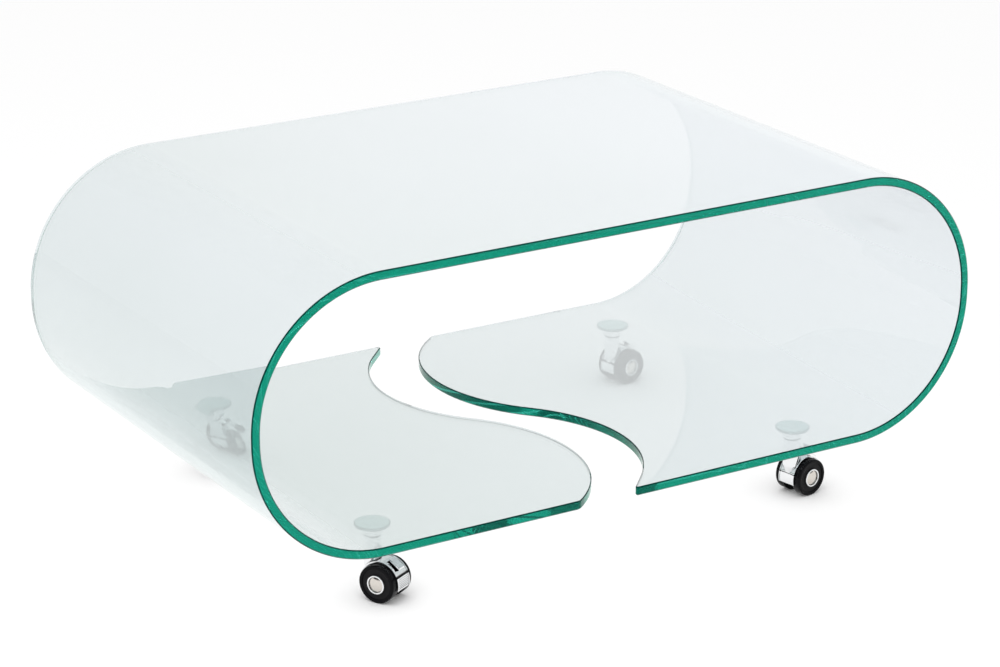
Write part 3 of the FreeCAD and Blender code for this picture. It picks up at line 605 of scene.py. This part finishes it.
def face_outwards(piece):
    """Turns all faces one way, and then the way in which the top faces up. Ends in object mode."""
    bpy.ops.mesh.select_all(action="SELECT")
    bpy.ops.mesh.normals_make_consistent(inside=False)
    bpy.ops.object.mode_set(mode="OBJECT")
    top = max(piece.data.polygons, key=lambda face: face.center.z)
    if top.normal.z < 0:
        bpy.ops.object.mode_set(mode="EDIT")
        bpy.ops.mesh.flip_normals()
        bpy.ops.object.mode_set(mode="OBJECT")


class TABLE_OT_glass_loop(bpy.types.Operator):
    """Model the bent glass sheet with the S-shaped gap underneath"""
    bl_idname = "table.glass_loop"
    bl_label = "Glass loop"

    def execute(self, context):
        sizes = context.scene.table_glass
        low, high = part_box("glass_sheet")
        inwards = Vector((1, 1, 1)) * sizes.clearance
        low, high = low + inwards, high - inwards
        deselect_all()
        piece, joint_x, lobe_trim, tip_trim = draw_leaf_edge(sizes, high.y, low.z)
        bend = bend_sheet(sizes, low, high)
        close_loop(piece, bend, high.z)
        round_corners(piece, sizes, bend, high.y, low.z, joint_x, lobe_trim, tip_trim)
        face_outwards(piece)
        glass = make_glass(context.scene.table_finishes)
        for _ in KINDS:
            piece.data.materials.append(glass)
        finish_with(piece, "SOLIDIFY", thickness=sizes.thickness, offset=-1, use_even_offset=True,
                    material_offset_rim=KINDS["rim"])
        finish_with(piece, "BEVEL", width=sizes.arris, segments=1, use_clamp_overlap=False,
                    limit_method="ANGLE", angle_limit=math.radians(50), material=KINDS["arris"])
        mark_rim(piece)
        smooth(piece, degrees=20)
        piece.visible_shadow = piece.visible_diffuse = False
        stand(piece, "table", "glass", "glass_sheet")
        return {"FINISHED"}


# ---------------------------------------------------------------- wheels and hub caps

def add_disc(name, radius, low, high, around):
    """A cylinder along Y between two distances from the castor's middle."""
    deselect_all()
    bpy.ops.mesh.primitive_cylinder_add(vertices=around, radius=radius, depth=high - low,
                                        location=(0, (low + high) / 2, 0), rotation=(QUARTER_TURN, 0, 0))
    return settle(name)


def pick_face(piece, height):
    """Selects the round face at a distance along Y, and not the four-cornered ones about it."""
    def is_round(face):
        flat = all(abs(point.co.y - height) < TOUCH for point in face.verts)
        return flat and len(face.verts) > 4
    pick(piece, "FACE", is_round)


def inset(amount):
    bpy.ops.mesh.inset(thickness=amount, use_even_offset=True)


def bevel_ring(piece, radius, height, width, segments):
    """Rounds the ring of edges at a radius and a distance along Y."""
    def is_ring(edge):
        return all(abs(point.co.y - height) < TOUCH and abs(point.co.xz.length - radius) < TOUCH
                   for point in edge.verts)
    pick(piece, "EDGE", is_ring)
    bpy.ops.mesh.bevel(offset=width, segments=segments, profile=0.5, affect="EDGES")


def dress_middle(piece, radius, height, lean):
    """Gives the second material to faces inside a radius, past a distance along Y, that lean outwards."""
    for face in piece.data.polygons:
        is_middle = face.center.xz.length < radius and face.center.y > height
        face.material_index = int(is_middle and face.normal.y > lean)


def model_wheel(sizes, radius):
    """A wheel, outer face towards +Y: stepped rim, cap seat, and behind it the drum and its channel."""
    face, back = sizes.wheel_face, sizes.wheel_back
    wheel = add_disc("wheel_pattern", radius, back, face, sizes.around)
    pick_face(wheel, face)
    inset(sizes.shoulder + sizes.rim_width)
    extrude(ACROSS * -sizes.rim_step)
    inset(radius - sizes.shoulder - sizes.rim_width - sizes.cap_radius - sizes.rim_step)
    extrude(ACROSS * (sizes.rim_step / 2))
    inset(sizes.rim_step)
    extrude(ACROSS * (sizes.rim_step / 2 - sizes.cap_seat))
    inset(sizes.cap_radius - sizes.bore_radius)

    channel = face - sizes.rim_step - sizes.disc_thickness
    pick_face(wheel, back)
    inset(sizes.rim_depth)
    extrude(ACROSS * (channel - back))
    inset(radius - sizes.rim_depth - sizes.drum_radius)
    extrude(ACROSS * (back - channel))
    inset(sizes.drum_radius - sizes.bore_radius)

    def is_bore_end(item):
        return len(item.verts) > 4 and all(point.co.xz.length < sizes.bore_radius + BORE_SLACK
                                           for point in item.verts)
    pick(wheel, "FACE", is_bore_end)
    bpy.ops.mesh.bridge_edge_loops()
    bevel_ring(wheel, radius, face, width=sizes.shoulder, segments=5)
    inner_shoulder = sizes.shoulder / 3
    bevel_ring(wheel, radius, back, width=inner_shoulder, segments=2)
    bpy.ops.mesh.select_all(action="SELECT")
    bpy.ops.mesh.normals_make_consistent(inside=False)
    finish_with(wheel, "BEVEL", width=sizes.wheel_edge, segments=2, limit_method="ANGLE",
                angle_limit=math.radians(35))
    disc_radius = radius - sizes.shoulder - sizes.rim_width
    under_disc = face - sizes.rim_step * 2
    dress_middle(wheel, disc_radius - sizes.wheel_edge, under_disc, lean=0.5)
    smooth(wheel, degrees=35)
    return wheel


def model_cap(sizes):
    """A hub cap, outer face towards +Y: a round lip about a shallow dome, hollow behind."""
    face, seat = sizes.wheel_face + sizes.cap_proud, sizes.wheel_face - sizes.cap_seat
    cap = add_disc("cap_pattern", sizes.cap_radius, seat, face, sizes.around)
    pick_face(cap, seat)
    inset(sizes.cap_wall)
    extrude(ACROSS * sizes.cap_hollow)
    pick_face(cap, face)
    inset(sizes.cap_lip)
    extrude(ACROSS * -sizes.cap_dish)
    dome_radius = sizes.cap_radius - sizes.cap_lip
    rings = sizes.cap_rings
    for ring in range(rings):
        outer, inner = 1 - ring / rings, 1 - (ring + 1) / rings
        inset(dome_radius / rings * (1 if ring < rings - 1 else LAST_RING))
        rise = sizes.cap_dish * DOME_RISE * (outer ** 2 - inner ** 2)
        bpy.ops.transform.translate(value=ACROSS * rise)
    bevel_ring(cap, sizes.cap_radius, face, width=sizes.cap_lip * LIP_OUTSIDE, segments=4)
    bevel_ring(cap, dome_radius, face, width=sizes.cap_lip * LIP_INSIDE, segments=3)
    bpy.ops.object.mode_set(mode="OBJECT")
    dress_middle(cap, dome_radius - TOUCH, seat, lean=0.1)
    smooth(cap, degrees=40)
    return cap


class TABLE_OT_wheels(bpy.types.Operator):
    """Model the wheels and hub caps once and set a pair of each in every castor"""
    bl_idname = "table.wheels"
    bl_label = "Wheels and hub caps"

    def execute(self, context):
        sizes = context.scene.table_castors
        finishes = context.scene.table_finishes
        low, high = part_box("front_left_wheel_right")
        wheel = model_wheel(sizes, (high.z - low.z) / 2)
        wheel.data.materials.append(
            make_black("moulded_black", finishes.black, smoothest=0.10, roughest=0.24))
        wheel.data.materials.append(
            make_black("satin_black", finishes.black_disc, smoothest=0.30, roughest=0.45))
        cap = model_cap(sizes)
        cap.data.materials.append(make_chrome(finishes))
        cap.data.materials.append(make_cap_face(finishes))
        for corner in CORNERS:
            for side, turn in SIDES.items():
                place = axle_frame(corner) @ Matrix.Rotation(turn, 4, "Z")
                body = f"{corner}_castor_{side}_wheel"
                stand(set_down(wheel, f"{corner}_{side}_wheel", place), body, "black_tread",
                      f"{corner}_wheel_{side}")
                stand(set_down(cap, f"{corner}_{side}_hub_cap", place), body, "bright_chrome",
                      f"{corner}_hub_cap_{side}")
        discard(wheel)
        discard(cap)
        return {"FINISHED"}


# ---------------------------------------------------------------- castor metalwork

class TABLE_OT_metalwork(bpy.types.Operator):
    """Give the castors' hoods, plates, stems, axles and brakes their finishes"""
    bl_idname = "table.metalwork"
    bl_label = "Castor metalwork"

    def execute(self, context):
        finishes = context.scene.table_finishes
        chrome, steel = make_chrome(finishes), make_steel(finishes)
        given = {"castor_hood": chrome, "bonding_plate": make_plate(finishes), "brake_lever": chrome,
                 "swivel_stem": steel, "stem_ring": steel, "axle": steel, "axle_rings": steel,
                 "brake_pin": steel, "swivel_bush": make_bush_plastic(finishes),
                 "adhesive_film": make_adhesive(finishes)}
        for corner in CORNERS:
            for part, material in given.items():
                node = frame["nodes"][f"{corner}_{part}"]
                node.data.materials.clear()
                node.data.materials.append(material)
        return {"FINISHED"}


# ---------------------------------------------------------------- stage

def seen_directly(owner):
    """1 for sight lines, mirrors and what is seen through glass, 0 for light that falls on things."""
    path = add_node(owner, "ShaderNodeLightPath").outputs
    total = path["Is Camera Ray"]
    for ray in ("Is Glossy Ray", "Is Transmission Ray"):
        total = add_math(owner, "MAXIMUM", total, path[ray])
    return total


def mirrored_room(world, height):
    """White for sight lines and sharp mirrors, and for blurred ones a dim horizon up to a height."""
    ramp = add_node(world, "ShaderNodeValToRGB")
    stops = ramp.color_ramp.elements
    for place, grey in ((0.0, HORIZON_GREY), (height * HORIZON_BAND, HORIZON_GREY), (height, 1.0)):
        stops.new(place).color = (grey, grey, grey, 1)
    stops.remove(stops[0])
    link(world, add_place(world, "Generated")["Z"], ramp.inputs["Fac"])
    path = add_node(world, "ShaderNodeLightPath").outputs
    is_blurred = add_math(world, "SUBTRACT", path["Is Glossy Ray"], path["Is Singular Ray"])
    is_blurred.node.use_clamp = True
    return add_mix(world, is_blurred, WHITE, ramp.outputs["Color"])


def light_world(sizes):
    """Even light from all round. Sight lines meet white, and plated parts also mirror a dim horizon."""
    world = bpy.data.worlds.new("studio")
    bpy.context.scene.world = world
    world.use_nodes = True
    world.node_tree.nodes.clear()
    lit = add_node(world, "ShaderNodeBackground", Strength=sizes.world_light, Color=WHITE)
    seen = add_node(world, "ShaderNodeBackground")
    link(world, mirrored_room(world, sizes.horizon), seen.inputs["Color"])
    mix = add_node(world, "ShaderNodeMixShader")
    sources = (seen_directly(world), lit.outputs["Background"], seen.outputs["Background"])
    for socket, source in zip(mix.inputs, sources):
        link(world, source, socket)
    output = add_node(world, "ShaderNodeOutputWorld")
    link(world, mix.outputs["Shader"], output.inputs["Surface"])


def lay_floor(sizes):
    """A wide pale floor, white where it is looked at and a little darker for the light it throws back."""
    deselect_all()
    bpy.ops.mesh.primitive_plane_add(size=sizes.floor_size, location=(0, 0, 0))
    floor = bpy.context.object
    floor.name = floor.data.name = "studio_floor"
    material, shader = new_material("floor_paper", Roughness=1.0, Specular_IOR_Level=0.0)
    shown = add_mix(material, seen_directly(material), (*sizes.floor_colour, 1), WHITE)
    link(material, shown, shader.inputs["Base Color"])
    floor.data.materials.append(material)


def hang_lamp(sizes):
    """One large soft lamp above the table, in front of it and to its left, turned to its middle."""
    deselect_all()
    bpy.ops.object.light_add(type="AREA", location=sizes.lamp_place)
    lamp = bpy.context.object
    lamp.name = "soft_lamp"
    lamp.data.shape = "RECTANGLE"
    lamp.data.size, lamp.data.size_y = sizes.lamp_length, sizes.lamp_width
    lamp.data.energy = sizes.lamp_power
    lamp.rotation_euler = (MIDDLE - lamp.location).to_track_quat("-Z", "Y").to_euler()


def set_camera(sizes):
    """Stands the camera round and above what it aims at, and leans it by the roll."""
    data = bpy.data.cameras.new("camera")
    camera = bpy.data.objects.new("camera", data)
    bpy.context.scene.collection.objects.link(camera)
    azimuth, elevation = sizes.azimuth, sizes.elevation
    back = Vector((math.sin(azimuth) * math.cos(elevation),
                   -math.cos(azimuth) * math.cos(elevation), math.sin(elevation)))
    right = Vector((math.cos(azimuth), math.sin(azimuth), 0))
    up = back.cross(right)
    lean_right = right * math.cos(sizes.roll) + up * math.sin(sizes.roll)
    lean_up = up * math.cos(sizes.roll) - right * math.sin(sizes.roll)
    turn = Matrix((lean_right, lean_up, back)).transposed().to_4x4()
    camera.matrix_world = Matrix.Translation(Vector(sizes.aim) + back * sizes.distance) @ turn
    data.lens = sizes.lens
    data.sensor_width = SENSOR_WIDTH
    data.clip_start, data.clip_end = NEAREST, FARTHEST
    bpy.context.scene.camera = camera


class TABLE_OT_stage(bpy.types.Operator):
    """Set up the floor, the light and the camera"""
    bl_idname = "table.stage"
    bl_label = "Studio"

    def execute(self, context):
        sizes = context.scene.table_stage
        light_world(sizes)
        lay_floor(sizes)
        hang_lamp(sizes)
        set_camera(sizes)
        context.scene.view_settings.view_transform = "Standard"
        cycles = context.scene.cycles
        cycles.max_bounces = BOUNCES
        cycles.glossy_bounces = cycles.transmission_bounces = GLASS_BOUNCES
        return {"FINISHED"}


# ---------------------------------------------------------------- add-on

class TABLE_PT_panel(bpy.types.Panel):
    """Lists the table's operators"""
    bl_label = "Glass table"
    bl_space_type = "VIEW_3D"
    bl_region_type = "UI"
    bl_category = "Table"

    def draw(self, context):
        for operator in OPERATORS:
            self.layout.operator(operator.bl_idname)


GROUPS = {"table_glass": GlassSizes, "table_castors": CastorSizes, "table_finishes": Finishes,
          "table_stage": StageSizes}
OPERATORS = (TABLE_OT_glass_loop, TABLE_OT_wheels, TABLE_OT_metalwork, TABLE_OT_stage)
CLASSES = (*GROUPS.values(), *OPERATORS, TABLE_PT_panel)


def register():
    for item in CLASSES:
        bpy.utils.register_class(item)
    for name, group in GROUPS.items():
        setattr(bpy.types.Scene, name, PointerProperty(type=group))


def unregister():
    for name in GROUPS:
        delattr(bpy.types.Scene, name)
    for item in reversed(CLASSES):
        bpy.utils.unregister_class(item)


def main():
    register()
    bpy.ops.table.stage()
    bpy.ops.table.glass_loop()
    bpy.ops.table.wheels()
    bpy.ops.table.metalwork()


if __name__ == "__main__":
    main()
